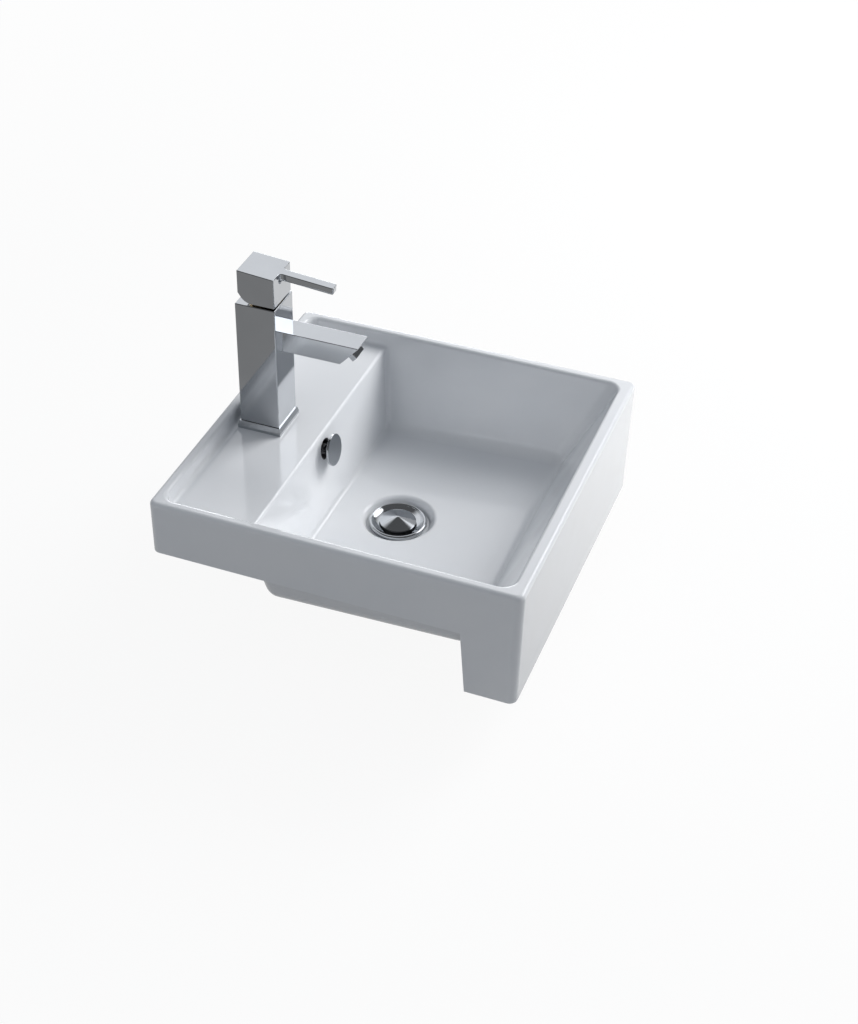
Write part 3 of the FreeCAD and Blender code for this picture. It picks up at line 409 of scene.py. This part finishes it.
def new_object(name, bm):
    """An object at the origin that takes over the bmesh."""
    mesh = bpy.data.meshes.new(name)
    bm.to_mesh(mesh)
    bm.free()
    made = bpy.data.objects.new(name, mesh)
    bpy.context.scene.collection.objects.link(made)
    return made


def helix_ridge(name, radius, crest, pitch, low, high, centre, steps):
    """A thread's ridge from low to high, wound round a rod of that radius that stands at centre.

    One turn has that number of steps.
    """
    count = int(((high - low) / pitch - TURNS_OFF) * steps)
    bm = bmesh.new()
    profile = [
        bm.verts.new((radius - RIDGE_SINK, 0.0, low)),
        bm.verts.new((radius + crest, 0.0, low + pitch * CREST_SHARE)),
        bm.verts.new((radius - RIDGE_SINK, 0.0, low + pitch * FOOT_SHARE)),
    ]
    edges = [bm.edges.new((profile[i], profile[(i + 1) % 3])) for i in range(3)]
    bmesh.ops.spin(
        bm, geom=profile + edges, cent=(0.0, 0.0, 0.0), axis=(0.0, 0.0, 1.0),
        dvec=(0.0, 0.0, pitch / steps), angle=count * 2.0 * math.pi / steps, steps=count,
        use_merge=False, use_normal_flip=False, use_duplicate=False)
    bmesh.ops.holes_fill(bm, edges=[e for e in bm.edges if e.is_boundary], sides=3)
    bmesh.ops.recalc_face_normals(bm, faces=bm.faces)
    bmesh.ops.translate(bm, verts=bm.verts, vec=(centre[0], centre[1], 0.0))
    return new_object(name, bm)


def dress_piece(piece, body, material):
    """Lets a new piece ride on its body, in the finish of its slot."""
    piece.data.materials.append(material)
    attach(piece, body)


# ---------------------------------------------------------------- stage


def turn_towards(way, axis):
    """The turn that points that axis of a camera or lamp along way, with its top upwards."""
    return way.to_track_quat(axis, "Y").to_matrix().to_4x4()


def lay_floor(choice):
    """A floor pale to the lamps and white where it is seen; in metal it shows a painted reflection,
    darker on the left.
    """
    material, tree, shader, place = new_material("studio_floor")
    shader.inputs["Base Color"].default_value = rgba(choice.floor_colour)
    shader.inputs["Roughness"].default_value = 0.9
    shader.inputs["Specular IOR Level"].default_value = 0.1
    path = tree.node("ShaderNodeLightPath").outputs
    distance = tree.node("ShaderNodeVectorMath", {0: place}, operation="LENGTH").outputs["Value"]
    glow = tree.spread(distance, FLOOR_FADE, FLOOR_GLOW, 1.0)
    # painted reflection: in glossy rays the floor glows instead of showing its lit colour, dark on
    # the left and white on the right
    painted_reflection = tree.spread(tree.axes(place)[0], FLOOR_REFLECTION_FADE, choice.floor_reflection_dark, 1.0)
    strength = tree.blend(path["Is Glossy Ray"], glow, painted_reflection)
    white = tree.node("ShaderNodeEmission", {"Color": WHITE, "Strength": strength})
    plain = tree.spread(distance, FLOOR_FADE, choice.floor_white, 1.0)
    seen = tree.math("MULTIPLY", path["Is Camera Ray"], plain)
    share = tree.math("MAXIMUM", seen, path["Is Glossy Ray"])
    output = next(node for node in tree.tree.nodes if node.type == "OUTPUT_MATERIAL")
    tree.link(tree.shade_mix(share, shader, white), output.inputs[0])
    bm = bmesh.new()
    bmesh.ops.create_grid(bm, x_segments=1, y_segments=1, size=FLOOR_SIDE / 2)
    bmesh.ops.translate(bm, verts=bm.verts, vec=(0.0, 0.0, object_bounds()[0].z - FLOOR_GAP))
    plane = new_object("studio_floor", bm)
    plane.data.materials.append(material)
    plane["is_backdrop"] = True


def light_room(choice):
    """Even light from all round, plain white where it is seen.

    In the mirror of metal and glaze the room is a painted reflection: dark, with a light side and
    two bright painted lamp glints.
    """
    world = bpy.data.worlds.new("studio_room")
    world.use_nodes = True
    world.node_tree.nodes.clear()
    tree = Tree(world.node_tree)
    path = tree.node("ShaderNodeLightPath").outputs
    place = tree.node("ShaderNodeTexCoord").outputs["Generated"]

    def patch(way, edge, low, high):
        """high in the direction way and low elsewhere."""
        near = tree.node("ShaderNodeVectorMath", {0: place, 1: Vector(way).normalized()},
                         operation="DOT_PRODUCT")
        return tree.spread(near.outputs["Value"], edge, low, high)

    # painted reflection: the room as metal and glaze see it, a dark room with a light side and two
    # painted lamp glints
    side = patch(SIDE_WAY, SIDE_EDGE, choice.mirror_dark, choice.mirror_light)
    roof = tree.spread(tree.axes(place)[2], ROOF_EDGE, choice.mirror_light, choice.mirror_dark)
    lamp = patch(LAMP_WAY, LAMP_EDGE, 0.0, choice.mirror_lamp)
    low_glint = patch(LOW_GLINT_WAY, LOW_GLINT_EDGE, 0.0, choice.mirror_lamp)
    walls = tree.math("MINIMUM", side, roof)
    painted_reflection = tree.math("ADD", walls, tree.math("MAXIMUM", lamp, low_glint))
    # dull surfaces get the even light, also by way of a mirror, so no mirror throws a patch on them
    first = tree.math("LESS_THAN", path["Diffuse Depth"], 0.5)
    glossy = tree.math("MULTIPLY", path["Is Glossy Ray"], first)
    strength = tree.blend(glossy, choice.room_light, painted_reflection)
    tint = tree.mix(glossy, ROOM_TINT, MIRROR_TINT)
    even = tree.node("ShaderNodeBackground", {"Color": tint, "Strength": strength})
    plain = tree.node("ShaderNodeBackground", {"Color": WHITE, "Strength": 1.0})
    both = tree.shade_mix(path["Is Camera Ray"], even, plain)
    tree.node("ShaderNodeOutputWorld", {0: both})
    bpy.context.scene.world = world


def hang_lamps(choice):
    """Area lamps that light the basin, but aren't seen themselves, nor in mirrors."""
    aim = Vector(LAMP_AIM)
    for name, power, (width, depth), way in LAMPS:
        lamp = bpy.data.lights.new(name, "AREA")
        lamp.shape = "RECTANGLE"
        lamp.size, lamp.size_y = width, depth
        lamp.energy = getattr(choice, power)
        place = aim + Vector(way).normalized() * LAMP_REACH
        holder = bpy.data.objects.new(name, lamp)
        holder.matrix_world = Matrix.Translation(place) @ turn_towards(aim - place, "-Z")
        holder.visible_camera = False
        holder.visible_glossy = False
        bpy.context.scene.collection.objects.link(holder)


def set_camera(choice):
    """The camera, where the photograph was taken from."""
    camera = bpy.data.cameras.new("studio_camera")
    camera.lens = choice.focal_length
    camera.sensor_width = CAMERA_SENSOR
    camera.shift_x, camera.shift_y = CAMERA_SHIFT
    camera.clip_start, camera.clip_end = CAMERA_CLIP
    azimuth, elevation = math.radians(CAMERA_AZIMUTH), math.radians(CAMERA_ELEVATION)
    back = Vector((math.sin(azimuth) * math.cos(elevation),
                   -math.cos(azimuth) * math.cos(elevation), math.sin(elevation)))
    turn = turn_towards(-back, "-Z") @ Matrix.Rotation(math.radians(CAMERA_ROLL), 4, "Z")
    holder = bpy.data.objects.new("studio_camera", camera)
    holder.matrix_world = Matrix.Translation(CAMERA_PLACE) @ turn
    bpy.context.scene.collection.objects.link(holder)
    bpy.context.scene.camera = holder


# ---------------------------------------------------------------- operators


class BASIN_OT_glaze_ware(bpy.types.Operator):
    """Glaze the casting, and leave its wall face and its feet as bare clay"""

    bl_idname = "basin.glaze_ware"
    bl_label = "Glaze the ware"

    def execute(self, context):
        choice = context.scene.basin_ware
        material, tree, shader, place = new_material("glaze")
        shader.inputs["IOR"].default_value = 1.52
        shader.inputs["Coat Weight"].default_value = 0.35
        shader.inputs["Coat Roughness"].default_value = 0.03
        skin = skin_node(tree, "surface_flow", {
            "Vector": place, "Wave Scale": 14.0, "Dimple Scale": 260.0, "Dimple Share": 0.05,
            "Rough Low": 0.12, "Rough High": 0.19})
        glazed = tree.mix(skin.outputs["Tone"],
                          rgba(choice.glaze_colour), rgba(choice.glaze_thin_colour))
        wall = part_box("basin_body")[1].y
        depths = (wall - choice.bare_depth, wall - choice.bare_depth * BARE_FULL)
        back = tree.spread(tree.axes(place)[1], depths, 0.0, 1.0)
        facing = tree.node("ShaderNodeNewGeometry").outputs["Normal"]
        feet = tree.spread(tree.axes(facing)[2], FOOT_TILT, 0.0, 1.0)
        bare = tree.math("MAXIMUM", back, feet)
        colour = tree.mix(bare, glazed, rgba(choice.biscuit_colour))
        tree.link(colour, shader.inputs["Base Color"])
        rough = tree.blend(bare, skin.outputs["Roughness"], BARE_ROUGHNESS)
        tree.link(rough, shader.inputs["Roughness"])
        add_bump(tree, shader, skin.outputs["Height"], 0.05, GLAZE_BUMP_DEPTH)
        finish_nodes(material, "glaze")
        return {"FINISHED"}


class BASIN_OT_plate_tap(bpy.types.Operator):
    """Plate the tap, the waste and the overflow cover in bright chrome"""

    bl_idname = "basin.plate_tap"
    bl_label = "Plate the tap and the waste"

    def execute(self, context):
        colour = context.scene.basin_metal.chrome_colour
        wear = {"Grain Scale": 900.0, "Smear Scale": 30.0, "Grain Share": 0.25,
                "Rough Low": 0.045, "Rough High": 0.085}
        material = skinned("chrome", "metal_wear", colour, 0.96, wear, 0.02, metallic=1.0)
        finish_nodes(material, "chrome")
        return {"FINISHED"}


class BASIN_OT_finish_steel(bpy.types.Operator):
    """Give the studs, nuts, stems and the spring a drawn steel finish"""

    bl_idname = "basin.finish_steel"
    bl_label = "Finish the steel"

    def execute(self, context):
        colour = context.scene.basin_metal.steel_colour
        wear = {"Grain Scale": 220.0, "Stretch": (1.0, 1.0, 0.08), "Smear Scale": 40.0,
                "Grain Share": 0.7, "Rough Low": 0.22, "Rough High": 0.38}
        material = skinned("brushed_steel", "metal_wear", colour, 0.78, wear, 0.12, metallic=1.0)
        finish_nodes(material, "steel")
        return {"FINISHED"}


class BASIN_OT_turn_brass(bpy.types.Operator):
    """Give the cartridge nut a turned brass finish"""

    bl_idname = "basin.turn_brass"
    bl_label = "Turn the brass"

    def execute(self, context):
        colour = context.scene.basin_metal.brass_colour
        wear = {"Grain Scale": 260.0, "Stretch": (0.1, 0.1, 1.0), "Smear Scale": 30.0,
                "Grain Share": 0.6, "Rough Low": 0.2, "Rough High": 0.34}
        material = skinned("turned_brass", "metal_wear", colour, 0.8, wear, 0.1, metallic=1.0)
        finish_nodes(material, "brass")
        return {"FINISHED"}


class BASIN_OT_mould_plastics(bpy.types.Operator):
    """Give the mouldings, seals and sealing discs their plastic, rubber and lapped finishes"""

    bl_idname = "basin.mould_plastics"
    bl_label = "Mould the plastics and seals"

    def execute(self, context):
        choice = context.scene.basin_plastic
        kinds = (  # slot, colour, shade, dimple scale, roughness from and to, bump strength
            ("black_plastic", choice.black_colour, 1.6, 1400.0, 0.34, 0.46, 0.12),
            ("white_plastic", choice.white_colour, 0.94, 1400.0, 0.3, 0.4, 0.1),
            ("grey_plastic", choice.grey_colour, 0.88, 1400.0, 0.33, 0.44, 0.12),
            ("rubber", choice.rubber_colour, 1.5, 2200.0, 0.6, 0.78, 0.25),
            ("disc_ceramic", choice.disc_colour, 0.93, 1400.0, 0.18, 0.26, 0.03),
        )
        for name, colour, shade, dimples, smooth, rough, strength in kinds:
            flow = {"Wave Scale": 60.0, "Dimple Scale": dimples, "Dimple Share": 0.6,
                    "Rough Low": smooth, "Rough High": rough}
            material = skinned(name, "surface_flow", colour, shade, flow, strength)
            finish_nodes(material, name)
        return {"FINISHED"}


class BASIN_OT_cut_tail_thread(bpy.types.Operator):
    """Cut the thread of the waste tail"""

    bl_idname = "basin.cut_tail_thread"
    bl_label = "Cut the waste thread"

    def execute(self, context):
        choice = context.scene.basin_thread
        low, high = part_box("waste_flange")
        centre = ((low.x + high.x) / 2, (low.y + high.y) / 2)
        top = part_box("waste_backnut")[0].z - choice.relief
        piece = helix_ridge("tail_thread", TAIL_RADIUS, choice.tail_crest, choice.tail_pitch,
                            low.z, top, centre, TAIL_STEPS)
        dress_piece(piece, "basin", bpy.data.materials["chrome"])
        return {"FINISHED"}


class BASIN_OT_cut_stud_threads(bpy.types.Operator):
    """Cut the threads of the two fixing studs"""

    bl_idname = "basin.cut_stud_threads"
    bl_label = "Cut the stud threads"

    def execute(self, context):
        choice = context.scene.basin_thread
        low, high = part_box("fixing_studs")
        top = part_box("clamp_plate")[0].z
        radius = (high.x - low.x) / 2
        rows = (("stud_thread_front", low.y + radius), ("stud_thread_rear", high.y - radius))
        for name, y in rows:
            centre = ((low.x + high.x) / 2, y)
            piece = helix_ridge(name, radius, choice.stud_crest, choice.stud_pitch,
                                low.z, top, centre, STUD_STEPS)
            dress_piece(piece, "basin", bpy.data.materials["brushed_steel"])
        return {"FINISHED"}


class BASIN_OT_set_stage(bpy.types.Operator):
    """Lay the pale floor, hang the lamps, and set up the camera"""

    bl_idname = "basin.set_stage"
    bl_label = "Set the stage"

    def execute(self, context):
        choice = context.scene.basin_stage
        lay_floor(choice)
        light_room(choice)
        hang_lamps(choice)
        set_camera(choice)
        context.scene.view_settings.view_transform = "Standard"
        return {"FINISHED"}


OPERATORS = (
    BASIN_OT_glaze_ware,
    BASIN_OT_plate_tap,
    BASIN_OT_finish_steel,
    BASIN_OT_turn_brass,
    BASIN_OT_mould_plastics,
    BASIN_OT_cut_tail_thread,
    BASIN_OT_cut_stud_threads,
    BASIN_OT_set_stage,
)


class BASIN_PT_sidebar(bpy.types.Panel):
    """Buttons for the basin's pieces and finishes"""

    bl_idname = "BASIN_PT_sidebar"
    bl_label = "Basin"
    bl_space_type = "VIEW_3D"
    bl_region_type = "UI"
    bl_category = "Basin"

    def draw(self, context):
        for name, settings in SETTINGS.items():
            box = self.layout.box()
            for prop in settings.__annotations__:
                box.prop(getattr(context.scene, name), prop)
        for operator in OPERATORS:
            self.layout.operator(operator.bl_idname)


def register():
    for name, settings in SETTINGS.items():
        bpy.utils.register_class(settings)
        setattr(bpy.types.Scene, name, PointerProperty(type=settings))
    for operator in OPERATORS:
        bpy.utils.register_class(operator)
    bpy.utils.register_class(BASIN_PT_sidebar)


def unregister():
    bpy.utils.unregister_class(BASIN_PT_sidebar)
    for operator in reversed(OPERATORS):
        bpy.utils.unregister_class(operator)
    for name, settings in SETTINGS.items():
        delattr(bpy.types.Scene, name)
        bpy.utils.unregister_class(settings)


def main():
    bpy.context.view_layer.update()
    register()
    bpy.ops.basin.glaze_ware()
    bpy.ops.basin.plate_tap()
    bpy.ops.basin.finish_steel()
    bpy.ops.basin.turn_brass()
    bpy.ops.basin.mould_plastics()
    bpy.ops.basin.cut_tail_thread()
    bpy.ops.basin.cut_stud_threads()
    bpy.ops.basin.set_stage()


if __name__ == "__main__":
    main()
